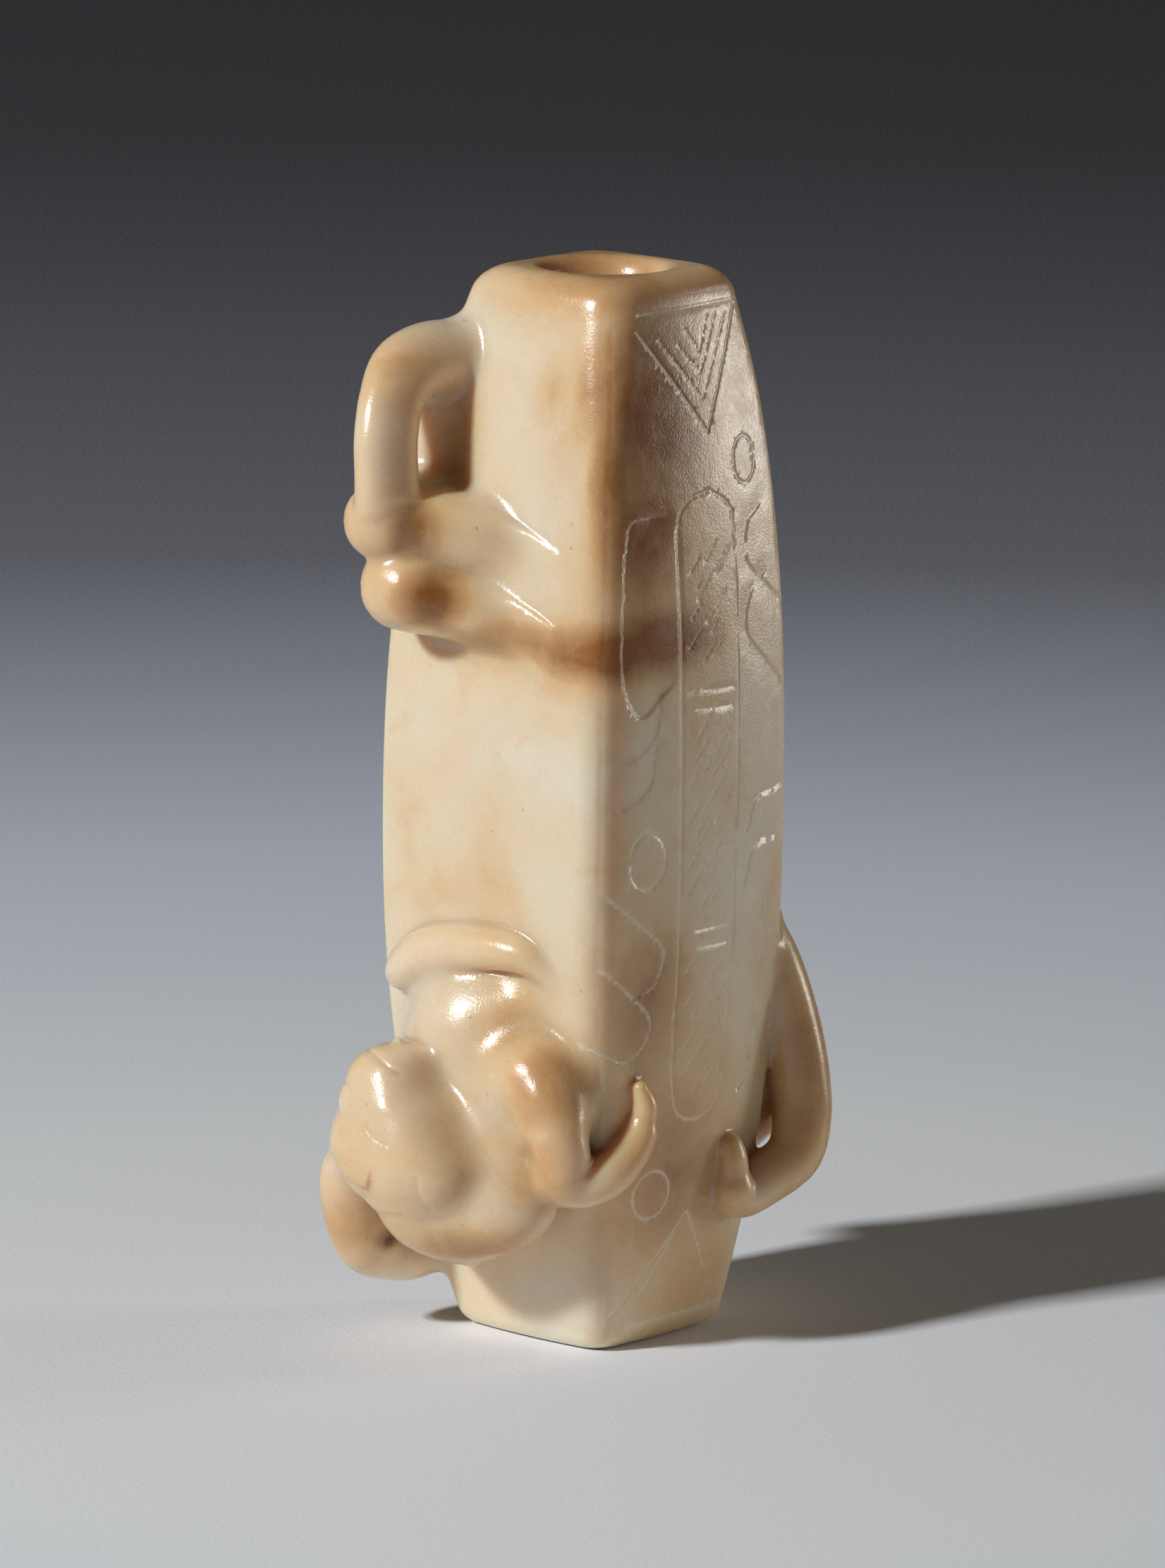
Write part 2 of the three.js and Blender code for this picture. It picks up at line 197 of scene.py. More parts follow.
# Eyes and ear lobes: [across, height, half width, half height, rise].
FACE_DOMES = [
    [-2.1, 17.6, 1.0, 0.95, 0.08],
    [-6.0, 17.5, 1.1, 0.95, 0.3],
    [1.9, 11.9, 1.2, 1.9, 0.12],
    [-5.5, 11.9, 1.9, 1.4, 0.3],
]
COLLAR = [
    [-7.1, -0.2, 24.7, 1.35],
    [-6.2, 0.0, 25.4, 1.6],
    [-4.2, 0.1, 26.5, 1.75],
    [-0.2, 0.1, 27.4, 1.55],
    [3.0, 0.0, 27.5, 1.3],
    [4.6, -0.5, 26.8, 1.05],
    [5.8, -1.0, 25.8, 0.8],
]
BACK_STAND = 0.7  # how far the back dragon stands out, beside the front one
BACK_RISE = 3.0  # how much higher the back dragon lies

# The front dragon's forelegs: shoulder and elbow on the face, [across, lift, height, radius], and the rest
# round the tube, [angle, lift, height, radius].
FRONT_SHOULDER = [
    [1.6, 0.1, 18.8, 2.4],
    [3.2, 0.3, 19.2, 2.8],
    [4.8, 0.4, 19.2, 2.95],
    [6.0, 0.6, 18.2, 2.7],
    [6.6, 1.0, 17.0, 2.3],
]
FRONT_RIGHT_ELBOW = [
    [6.4, 1.4, 18.2, 2.05],
    [7.1, 1.5, 16.4, 1.95],
    [7.4, 1.5, 14.7, 1.9],
    [7.3, 1.5, 13.4, 1.9],
]
FRONT_RIGHT_FORELEG = [
    [-62, 1.9, 13.2, 1.85],
    [-56, 1.9, 12.8, 1.8],
    [-49, 1.2, 12.6, 1.65],
    [-41, 1.0, 13.2, 1.5],
    [-34, 1.0, 14.4, 1.35],
    [-29.5, 0.9, 15.5, 1.15],
]
FRONT_RIGHT_CLAW = [
    [-28.5, 0.8, 16.0, 0.9],
    [-27.5, 0.8, 17.4, 0.85],
    [-29.5, 0.7, 18.7, 0.5],
]
FRONT_LEFT_FORELEG = [
    [-116, 5.8, 13.4, 2.1],
    [-123, 6.2, 11.0, 2.2],
    [-126.5, 6.0, 8.0, 2.2],
    [-129, 5.4, 6.1, 2.15],
    [-133, 4.0, 5.2, 1.95],
    [-138, 2.4, 4.8, 1.9],
    [-146, 1.2, 5.4, 1.7],
    [-155, 0.9, 6.8, 1.4],
]
FRONT_LEFT_CLAW = [
    [-157, 0.8, 7.6, 0.8],
    [-159, 0.8, 9.8, 0.8],
    [-157, 0.7, 11.4, 0.4],
]

# The back dragon's forelegs, placed alike.
BACK_LEFT_FORELEG = [
    [54, -0.4, 28.0, 1.6],
    [52, 1.0, 24.5, 1.9],
    [51, 2.2, 20.5, 2.1],
    [50, 3.1, 16.8, 2.1],
    [48.5, 3.4, 13.9, 2.0],
    [45, 2.5, 11.6, 1.9],
    [39, 1.4, 10.0, 1.75],
    [33, 0.9, 9.4, 1.6],
    [28, 0.8, 9.9, 1.5],
]
BACK_LEFT_CLAW = [
    [27.5, 0.7, 10.4, 1.25],
    [26.5, 0.6, 12.0, 1.1],
    [26, 0.4, 12.9, 0.95],
]
BACK_SHOULDER = [
    [2.6, 1.0, 23.4, 1.9],
    [5.2, 1.6, 23.4, 2.0],
    [6.9, 1.8, 21.4, 2.0],
    [7.7, 1.7, 18.6, 1.9],
    [8.2, 1.4, 16.6, 1.8],
]
BACK_RIGHT_FORELEG = [
    [124, 1.9, 16.0, 1.8],
    [128, 1.9, 15.9, 1.75],
    [135, 1.3, 16.2, 1.6],
    [142, 1.1, 17.2, 1.35],
    [147, 1.0, 18.4, 1.15],
]
BACK_RIGHT_CLAW = [
    [148.5, 0.9, 19.0, 0.8],
    [150, 0.9, 20.8, 0.8],
    [148, 0.8, 22.5, 0.4],
]

# How widely each member runs into what carries it.
BLEND = {
    "arris_web": 1.5,
    "hip": 0.7,
    "loop_strands": 1.0,
    "loop_on_hip": 0.3,
    "hip_on_face": 1.0,
    "collar": 0.4,
    "chest": 0.9,
    "shoulder_ball": 1.5,
    "head": 1.0,
    "neck": 1.8,
    "front_shoulder": 1.4,
    "front_elbow": 0.5,
    "back_shoulder": 0.8,
    "foreleg": 0.6,
    "front_left_foreleg": 1.3,
    "claw": 0.4,
}

# Ornament incised on the right face, and repeated on the left: [across, height] along each line.
TRIANGLES = [
    [[-4.6, 68.7], [1.4, 61.6], [5.4, 69.6]],
    [[-2.7, 68.0], [1.1, 63.8], [4.3, 69.2]],
    [[-0.9, 67.5], [1.1, 65.5], [3.2, 69.2]],
    [[-0.2, 68.6], [1.2, 66.9], [2.3, 69.2]],
]
TRIANGLE_TOP = [[-4.3, 69.7], [5.8, 69.9]]
STRIP = [
    [1.2, 57.8], [-1.0, 57.3], [-2.1, 55.5], [-2.0, 50.0], [-1.9, 40.0], [-1.9, 30.0], [-2.1, 21.0],
    [-1.9, 18.0], [-1.2, 16.2], [0.8, 15.5], [2.6, 16.4], [3.2, 18.5], [3.4, 24.0], [3.7, 31.0],
    [3.9, 40.0], [3.8, 48.0], [3.6, 55.0], [3.0, 56.8], [1.2, 57.8],
]
HATCHED = [[17.5, 26.5], [30.0, 42.5], [46.5, 54.0]]  # the heights between which the strip is hatched
HATCH_STEP = 0.62
HATCH_SLOPE = 1.05
HATCH_LEFT = 0.2  # where the strokes start, on the average
HATCH_WIDE = 1.2  # how far across they reach, on the average
HATCH_UNEVEN = (1.4, 0.2, 0.6)  # how much their start, their height and their reach vary
HATCH_TURNS = (2.3, 5.0, 3.7)  # radians by which each of these swings on from stroke to stroke
BARS = [
    [[-1.4, 44.8], [3.5, 44.5]],
    [[-0.5, 43.5], [3.3, 43.3]],
    [[-0.4, 28.6], [3.2, 28.5]],
    [[0.0, 27.4], [2.9, 27.4]],
]
# Rings: [across, height, half width, half height].
RINGS = [[5.1, 59.4, 1.2, 1.55], [-5.0, 33.9, 1.65, 1.85], [-3.1, 10.8, 1.7, 1.65]]
RING_POINTS = 17
LONG_GROOVE = [
    [-4.6, 56.6], [-6.2, 56.4], [-6.8, 54.8], [-7.1, 52.6], [-7.4, 47.6], [-7.1, 45.4], [-6.4, 44.1],
    [-5.5, 43.6], [-4.1, 44.5],
]
SCALLOPS = [
    [[-4.0, 44.0], [-4.4, 42.4], [-5.6, 41.2], [-7.9, 40.8]],
    [[-4.4, 41.0], [-4.8, 39.2], [-5.8, 38.2], [-8.0, 37.6]],
    [[7.9, 36.9], [6.6, 36.8], [5.7, 36.2], [5.2, 34.8]],
    [[7.8, 33.6], [6.6, 33.5], [5.6, 33.0], [5.0, 31.2]],
    [[4.8, 30.2], [5.4, 30.6], [6.2, 30.5], [6.9, 29.7], [7.1, 26.7], [6.8, 21.9], [6.4, 18.4]],
]
LEAVES = [
    [[-8.5, 31.8], [-6.1, 30.0], [-3.7, 28.2], [-3.3, 27.3], [-3.7, 26.0], [-4.2, 25.3], [-5.2, 24.9]],
    [
        [-8.8, 27.0], [-6.8, 25.4], [-4.8, 23.7], [-4.4, 22.6], [-4.9, 21.3], [-6.4, 20.5], [-8.0, 21.0],
        [-9.3, 21.8],
    ],
    [[6.4, 56.0], [5.2, 55.2], [4.8, 53.4], [5.4, 52.2], [8.6, 49.8]],
    [[6.6, 51.4], [5.3, 50.4], [4.7, 48.7], [5.2, 47.4], [8.4, 44.6]],
]
FOOT_LINES = [
    [[0.7, 9.1], [-5.6, 2.5]],
    [[-0.4, 7.6], [-4.1, 2.3]],
    [[0.7, 9.1], [3.2, 4.8]],
    [[-3.9, 1.7], [6.0, 1.7]],
]
NICK = [[5.1, 16.9], [5.7, 17.5]]
# Lines cut into a dragon's head, [across, height].
MOUTH = [[-5.4, 20.5], [-4.2, 20.4], [-3.0, 20.05], [-1.9, 19.5]]
WRINKLES = [
    [[-3.3, 16.5], [-2.4, 15.8], [-1.3, 15.5]],
    [[-3.1, 16.0], [-2.2, 15.4], [-1.4, 15.2]],
    [[0.9, 13.2], [0.8, 12.0], [1.0, 10.8]],
]
EAR_EDGE = [[-6.8, 13.1], [-6.0, 12.6], [-4.7, 12.1], [-3.8, 11.75], [-3.2, 11.8], [-2.95, 12.3]]
HEAD_HEIGHT = 12.0  # where the face's distance is taken for these
HEAD_LINE_LIFT = 5.0  # only what stands further out of the face is cut
# The border line beside the arris in front: how far in it lies, and from where to where.
BORDER_INSET = 0.55
BORDER_HEIGHTS = (2.0, 69.0)
BORDER_POINTS = 30
# Cuts: half width, depth and width of the sloped side. It is on the left of the way the line runs, or on
# the right if its width is below 0.
LINE_HALF_WIDTH = 0.105
LINE_DEPTH = 0.065
FINE_CUT = (LINE_HALF_WIDTH, LINE_DEPTH, 0)
FAINT_CUT = (LINE_HALF_WIDTH, 0.6 * LINE_DEPTH, 0)
SLANTED_CUT = (LINE_HALF_WIDTH, LINE_DEPTH, -1.3)
GROOVE_CUT = (LINE_HALF_WIDTH, 0.16, 2.4)
NICK_CUT = (0.3, 0.12, 0)
MOUTH_CUT = (0.14, 0.12, 0)
WRINKLE_CUT = (0.18, 0.05, 0)
EAR_CUT = (0.15, 0.25, -1.5)
FACE_EDGE = (-0.3, 0.1)  # from where to where, beyond a face's side, its lines run out
FACE_REACH = 0.5  # how far outside a face its lines still cut, so that limbs in front of it stay whole

# The photograph's camera: where it stands, round the object, and its lens.
CAMERA_AZIMUTH = 41.0
CAMERA_ELEVATION = 11.2
CAMERA_DISTANCE = 680.0
CAMERA_ROLL = 0.785
CAMERA_LENS = 234.13
CAMERA_TARGET_ACROSS = -0.972
CAMERA_TARGET_HEIGHT = 36.99
SENSOR = 36.0
CAMERA_CLIP = (0.01, 20.0)

# Colours of the stone, and how far light goes into it.
CREAM = (0.83, 0.68, 0.46)
PALE = (0.84, 0.76, 0.61)
TAN = (0.77, 0.52, 0.27)
RUSSET = (0.38, 0.16, 0.045)
# The dark of dirt, and of painted shade in a small gap between the left foreleg and the chest.
DIRT_AND_GAP_SHADE = (0.06, 0.035, 0.02)
# The incised lines' colour: the pale of scratched stone, partly painted light standing for the glints along
# them.
SCRATCHED_AND_PAINTED_GLINT = (0.9, 0.81, 0.65)  # in the incised lines
SUBSURFACE_RADIUS = (1.0, 0.55, 0.28)
SUBSURFACE_SCALE = 0.0022
STONE_IOR = 1.6

# Patterns in the stone: scale to the metre, detail, roughness and distortion of the noise, and the colours
# or shares that its levels give.
CLOUDS = (85.0, 4.0, 0.5, 0.3)
CLOUD_STOPS = [(0.34, TAN), (0.48, CREAM), (0.66, PALE)]
VEINS = (240.0, 5.0, 0.6, 0.8)
VEIN_STOPS = [(0.55, 0.0), (0.72, 0.45)]
SPECKS = (1500.0, 2.0, 0.6, 0.0)
SPECK_STOPS = [(0.2, 0.5), (0.27, 0.0)]
# Painted sparkle: pale flecks in the colour that stand for glints in the highlights.
PAINTED_SPARKLE = (5200.0, 1.0, 0.5, 0.0)
PAINTED_SPARKLE_STOPS = [(0.69, 0.0), (0.8, 0.45)]
GRAIN = (6000.0, 2.0, 0.6, 0.0)
POLISH = (700.0, 3.0, 0.5, 0.0)
POLISH_BUMP = 1.5  # beside the grain's
BUMP_STRENGTH = 0.22
BUMP_DISTANCE = 0.00008
ROUGHNESS = 0.15
ROUGHNESS_SPREAD = 0.22
# How a stain colours the stone: its share before the veins add to it, how soon it is tan, and from where it
# turns russet.
STAIN_BASE = 0.55
STAIN_TAN = 2.0
STAIN_RUSSET = (1.6, -0.6)
# How far hollows are darkened towards the russet colour.
HOLLOW_DARKENING = 0.35
# How far the incised lines turn to that colour: partly scratched stone, partly painted light lifting them
# out of their shade.
LINE_PALENESS_AND_GLINT = 0.9

# Stains: [x, y, z, reach x, reach y, reach z, strength]. Most are the stone's own; the rows marked below
# paint light and shade, wholly or in part.
RUSSET_STAINS_SHADE_AND_GLOW = [
    # Partly russet, partly painted shade: the tail loop's shaded bend, and the front face in the loop's
    # cast shadow.
    [-6.2, -13.5, 65.5, 3.0, 4.5, 3.5, 0.45],
    [-4.6, -9.5, 60.5, 2.0, 2.4, 5.5, 0.6],
    [-6.5, -14.5, 55.0, 4.0, 5.0, 6.0, 0.35],
    # Partly russet, partly painted shade: the dark right slopes of the hip knob and its lobe.
    [-3.9, -13.6, 55.3, 1.8, 2.8, 2.3, 1.0],
    [-2.7, -13.7, 50.9, 2.6, 3.2, 2.3, 1.15],
    [0.0, -10.5, 54.0, 3.0, 3.0, 3.0, 0.3],
    [1.0, -9.5, 48.4, 7.0, 4.0, 1.8, 0.85],
    [8.0, -8.0, 48.0, 5.0, 5.0, 2.2, 1.2],
    [9.5, -4.0, 48.5, 3.0, 6.0, 2.6, 1.2],
    [7.5, -7.5, 58.0, 1.8, 2.2, 9.0, 0.9],
    [6.2, -8.0, 65.0, 2.4, 2.5, 6.0, 0.62],
    [4.6, -8.8, 60.5, 2.4, 2.5, 4.5, 0.28],
    [7.2, -3.5, 69.3, 2.2, 3.5, 1.8, 0.5],
    [9.0, -3.5, 63.5, 5.0, 6.0, 8.0, 1.1],
    [9.0, -5.5, 56.0, 3.5, 4.5, 6.0, 0.95],
    [3.0, -4.0, 71.0, 9.0, 6.0, 2.2, 0.66],
    [-4.0, 2.0, 71.5, 8.0, 9.0, 2.5, 0.65],
    [3.0, -8.3, 64.8, 1.8, 3.0, 2.6, 0.45],
    # Painted glow: a warm tint on the right face beside the front arris, for light shining through the
    # stone's edge.
    [9.3, -8.5, 34.0, 1.2, 1.4, 24.0, 0.35],
    [9.5, -5.0, 24.0, 2.5, 5.0, 7.0, 0.72],
    [9.0, -2.0, 12.0, 3.0, 7.0, 8.0, 0.75],
    [-1.0, -10.0, 36.0, 5.0, 3.0, 6.0, 0.1],
    [-7.2, -12.0, 6.8, 1.6, 2.0, 1.2, 0.8],
    [6.5, -12.0, 19.0, 3.0, 4.0, 4.0, 0.7],
    [6.5, -12.0, 14.0, 3.0, 4.0, 4.0, 0.6],
    [2.8, -12.0, 23.0, 2.6, 4.0, 3.0, 0.5],
    [-1.0, -15.0, 14.0, 9.0, 7.0, 12.0, 0.27],
    [2.0, -14.0, 8.0, 6.0, 5.0, 3.0, 0.65],
    [-9.0, -14.0, 8.0, 5.0, 5.0, 4.0, 0.5],
    [9.0, 11.0, 17.0, 5.0, 5.0, 9.0, 0.65],
]
PALE_STAINS_AND_LIGHT = [
    [-1.5, -9.5, 62.5, 5.0, 4.0, 6.0, 0.7],
    # Painted sheen: the right face made paler along its back edge.
    [9.5, 5.0, 30.0, 4.0, 3.0, 25.0, 0.6],
    # Painted light: the tail loop's arm made paler, as if light shone through it.
    [-5.4, -15.8, 61.0, 2.0, 2.5, 5.0, 0.8],
    [-4.0, -10.0, 38.0, 4.0, 4.0, 8.0, 0.3],
    [5.0, -9.0, 33.0, 3.0, 4.0, 5.0, 0.5],
    [2.0, -9.0, 4.0, 5.0, 4.0, 3.0, 0.6],
    [3.0, -10.0, 52.0, 4.0, 3.0, 3.0, 0.5],
]
DIRT_AND_GAP_SHADE_SPOTS = [
    [-4.6, -11.2, 58.0, 0.8, 0.9, 0.5, 0.4],
    # Partly dirt, partly painted shade: a dark patch where a small gap opens between the left foreleg and
    # the chest.
    [-7.4, -11.9, 6.5, 0.5, 0.8, 0.45, 1.0],
]

# The floor, and its colour from beneath the stone out to the falloff distance below, in metres, as (share
# of the way, colour).
# Pale near the stone and dark further out, its colour is a painted pool of light.
FLOOR_RADIUS = 3.0
FLOOR_SIDES = 96
FLOOR_ROUGHNESS = 0.75
FLOOR_SPECULAR = 0.2
FLOOR_BUMP_STRENGTH = 0.3
FLOOR_BUMP_DISTANCE = 0.0001
FIBRES = (2500.0, 3.0, 0.5, 0.0)
FIBRE_STOPS = [(0.4, 0.0), (0.7, 0.12)]
FIBRE_COLOUR = (1.0, 1.0, 1.0)
FLOOR_FALLOFF_DISTANCE = 1.0
FLOOR_PAINTED_FALLOFF = [
    (0.0, (0.9, 0.93, 1.0)),
    (0.06, (0.93, 0.97, 1.0)),
    (0.16, (0.72, 0.78, 0.91)),
    (0.3, (0.25, 0.265, 0.32)),
    (0.6, (0.13, 0.125, 0.15)),
    (1.0, (0.18, 0.17, 0.21)),
]

# Lamps: name, angle round the stone, elevation, distance, width, height, watts and colour.
LAMPS = [
    ("key", -105, 32, 1.0, 0.09, 0.09, 8.5, (1, 1, 1)),
    ("right_low", 58, 4, 0.5, 0.06, 0.12, 0.45, (1, 0.93, 0.84)),
    ("right_high", 63, 20, 0.5, 0.03, 0.06, 0.1, (1, 0.97, 0.92)),
]
WORLD_COLOUR = (0.58, 0.47, 0.38, 1)
WORLD_STRENGTH = 0.025

SQRT_HALF = math.sqrt(0.5)


# The tube's section at a height.
def from_middle(z):
    return np.clip(np.abs(2 * np.asarray(z) / HEIGHT - 1), 0, 1)


def half_side(z):
    taper = MIDDLE_HALF_DIAGONAL - END_HALF_DIAGONAL
    return (MIDDLE_HALF_DIAGONAL - taper * from_middle(z) ** BARREL_POWER) * SQRT_HALF


def crown(z):
    return FACE_CROWN * half_side(z) / (MIDDLE_HALF_DIAGONAL * SQRT_HALF)


# How far a face lies from the section's middle, at a distance across it.
def face_distance(across, z):
    return half_side(z) + crown(z) * (1 - (across / half_side(z)) ** 2)


def bow(z):
    shift = BOW * (1 - from_middle(z) ** 2)
    return shift * math.cos(math.radians(BOW_ANGLE)), shift * math.sin(math.radians(BOW_ANGLE))


def section_radius(angle, z):
    off = math.radians((angle + 45) % 90 - 45)
    return half_side(z) / math.cos(off) + crown(z) * math.cos(2 * off)


# A place beside the tube: an angle round the axis, a lift off the surface and a height.
def around(angle, lift, z):
    radius = section_radius(angle, z) + lift
    shift_x, shift_y = bow(z)
    turn = math.radians(angle)
    return [radius * math.cos(turn) + shift_x, radius * math.sin(turn) + shift_y, z]


# A place in front of a face, seen square on: a distance across to the right, a lift and a height.
def facing(face, across, lift, z):
    x, y, _ = around(face, lift, z)
    turn = math.radians(face + 90)
    return [x + across * math.cos(turn), y + across * math.sin(turn), z]


def round_rows(rows):
    return [[*around(angle, lift, z), radius] for angle, lift, z, radius in rows]


def face_rows(face, rows):
    return [[*facing(face, across, lift, z), radius] for across, lift, z, radius in rows]


def raised(rows, stand, rise):
    return [[across, lift * stand, z + rise, *sizes] for across, lift, z, *sizes in rows]


# A smooth curve through rows of numbers, with so many steps from one row to the next.
def smooth_path(rows, steps=8):
    rows = np.asarray(rows, float)
    padded = np.vstack([2 * rows[0] - rows[1], rows, 2 * rows[-1] - rows[-2]])
    t = np.linspace(0, 1, steps, endpoint=False)[:, None]
    spans = []
    for before, start, end, after in zip(padded[:-3], padded[1:-2], padded[2:-1], padded[3:]):
        bend = 2 * before - 5 * start + 4 * end - after
        twist = 3 * start - before - 3 * end + after
        spans.append(start + 0.5 * ((end - before) * t + bend * t**2 + twist * t**3))
    return np.vstack([*spans, rows[-1:]])


# Ways of joining and cutting distance fields.
def smooth_min(a, b, blend):
    near = np.maximum(blend - np.abs(a - b), 0)
    return np.minimum(a, b) - near * near / (4 * blend)


def smooth_max(a, b, blend):
    near = np.maximum(blend - np.abs(a - b), 0)
    return np.maximum(a, b) + near * near / (4 * blend)


def rounded_max(a, b, radius):
    corner = np.sqrt(np.maximum(a + radius, 0) ** 2 + np.maximum(b + radius, 0) ** 2)
    return np.minimum(np.maximum(a, b), -radius) + corner


def smooth_step(low, high, value):
    t = np.clip((value - low) / (high - low), 0, 1)
    return t * t * (3 - 2 * t)


# The grid: its first index, its size and the places of its planes.
grid_first = [math.floor((c / MILLIMETRE - MARGIN) / VOXEL) for c in cad_low]
grid_last = [math.ceil((c / MILLIMETRE + MARGIN) / VOXEL) for c in cad_high]
grid_ends = list(zip(grid_first, grid_last))
grid_axes = [np.arange(first, last + 1, dtype=np.float32) * VOXEL for first, last in grid_ends]
grid_shape = tuple(len(axis) for axis in grid_axes)


# The part of a grid inside a box, and its coordinates as three open axes.
def block_between(low, high, axes=grid_axes):
    block = []
    inside = []
    for number, axis in enumerate(axes):
        planes = axis.ravel()
        start, end = np.searchsorted(planes, [low[number], high[number]])
        block.append(slice(int(start), int(end)))
        shape = [1, 1, 1]
        shape[number] = -1
        inside.append(planes[start:end].reshape(shape))
    return tuple(block), inside


def whole_grid():
    _, axes = block_between([-np.inf] * 3, [np.inf] * 3)
    return axes


def tube_field():
    x, y, z = whole_grid()
    side = half_side(z)
    shift_x, shift_y = bow(z)
    u = np.abs(x - shift_x)
    v = np.abs(y - shift_y)
    face_x = u - side - crown(z) * (1 - (v / side) ** 2)
    face_y = v - side - crown(z) * (1 - (u / side) ** 2)
    ease = ARRIS + (ARRIS_TOP - ARRIS) * smooth_step(ARRIS_TOP_FROM, HEIGHT, z)
    ease = ease + ARRIS_FRONT * smooth_step(*ARRIS_FRONT_REACH, (x - y) * SQRT_HALF)
    slope = np.gradient(side.ravel(), z.ravel()).reshape(side.shape)
    wall = smooth_max(face_x, face_y, ease) / np.sqrt(1 + slope**2)
    ends = np.abs(z - HEIGHT / 2) - HEIGHT / 2
    rim = np.where(z > HEIGHT / 2, TOP_RIM, FOOT_RIM)
    return rounded_max(wall, ends, rim).astype(np.float32)


def bore_field():
    x, y, z = whole_grid()
    depth = np.maximum(np.minimum(z, HEIGHT - z), 0)
    radius = BORE_RADIUS + (LIP_RADIUS - BORE_RADIUS) * np.maximum(1 - depth / LIP_DEPTH, 0) ** 2
    return (np.sqrt(x**2 + y**2) - radius).astype(np.float32)


# A round rod along a smooth curve of [x, y, z, radius] rows, or a ball for a single row.
def rod(rows):
    path = smooth_path(rows) if len(rows) > 1 else np.asarray([rows[0], rows[0]], float)
    reach = path[:, 3:].max() + REACH
    block, axes = block_between(path[:, :3].min(0) - reach, path[:, :3].max(0) + reach)
    field = np.full([axis.size for axis in axes], FAR, np.float32)
    for start, end in zip(path[:-1], path[1:]):
        along = end[:3] - start[:3]
        low = np.minimum(start[:3], end[:3]) - reach
        high = np.maximum(start[:3], end[:3]) + reach
        part, near = block_between(low, high, axes)
        away = [axis - place for axis, place in zip(near, start)]
        length = max(float(along @ along), TINY)
        t = np.clip(sum(a * s for a, s in zip(away, along)) / length, 0, 1)
        square = sum((a - t * s) ** 2 for a, s in zip(away, along))
        distance = np.sqrt(square) - (start[3] + t * (end[3] - start[3]))
        field[part] = np.minimum(field[part], distance)
    return block, field


# A mound on a face: level sections, each [across, lift, height, half width, half depth], lowest first.
# Squareness 2 gives ellipses, and more gives flatter fronts and steeper sides.
def mound(face, rows, squareness=2.0):
    path = smooth_path(rows)
    heights = path[:, 2]
    reach = REACH + path[:, 3:].max()
    places = np.array([facing(face, across, lift, z) for across, lift, z, _, _ in path])
    block, (x, y, z) = block_between(places.min(0) - reach, places.max(0) + reach)
    level = np.clip(z, heights[0], heights[-1])
    across, lift, width, depth = (np.interp(level, heights, path[:, number]) for number in (0, 1, 3, 4))
    turn = math.radians(face)
    shift_x, shift_y = bow(level)
    outward = (x - shift_x) * math.cos(turn) + (y - shift_y) * math.sin(turn)
    sideways = (y - shift_y) * math.cos(turn) - (x - shift_x) * math.sin(turn)
    middle = half_side(level) + crown(level)
    a = np.abs(sideways - across) / width
    b = np.abs(outward - middle - lift) / depth
    share = (a**squareness + b**squareness) ** (1 / squareness)
    raw = (share - 1) * np.minimum(width, depth) + np.abs(z - level)
    steepness = np.sqrt(sum(g**2 for g in np.gradient(raw, VOXEL)))
    return block, (raw / np.clip(steepness, *STEEPNESS)).astype(np.float32)


def join(field, member, blend):
    block, distance = member
    field[block] = smooth_min(field[block], distance, blend)


# Members joined with each other alone.
def gathered(members, blend):
    field = np.full(grid_shape, FAR, np.float32)
    for member in members:
        join(field, member, blend)
    return field


# A dragon's collar, chest, head and neck on a face.
def join_dragon(field, face, stand, rise):
    join(field, rod(face_rows(face, raised(COLLAR, stand, rise))), BLEND["collar"])
    join(field, mound(face, raised(CHEST, stand, rise)), BLEND["chest"])
    join(field, rod(face_rows(face, raised(SHOULDER_BALL, stand, rise))), BLEND["shoulder_ball"])
    join(field, mound(face, raised(HEAD, stand, rise), HEAD_SQUARENESS), BLEND["head"])
    join(field, rod(face_rows(face, raised(NECK, stand, rise))), BLEND["neck"])


# A foreleg and its claw, round the tube.
def join_limb(field, foreleg, claw, blend):
    join(field, rod(round_rows(foreleg)), BLEND[blend])
    join(field, rod(round_rows(claw)), BLEND["claw"])


# The tail loop, as three strands side by side that run together.
def tail_loop():
    sideways, outward = TAIL_LOOP_DEEPER
    strands = []
    for turn in (-1, 0, 1):
        aside = turn * sideways
        out = turn * outward
        strand = [[across + aside, lift + out, z, radius] for across, lift, z, radius in TAIL_LOOP]
        strands.append(rod(face_rows(FRONT, strand)))
    return gathered(strands, BLEND["loop_strands"])


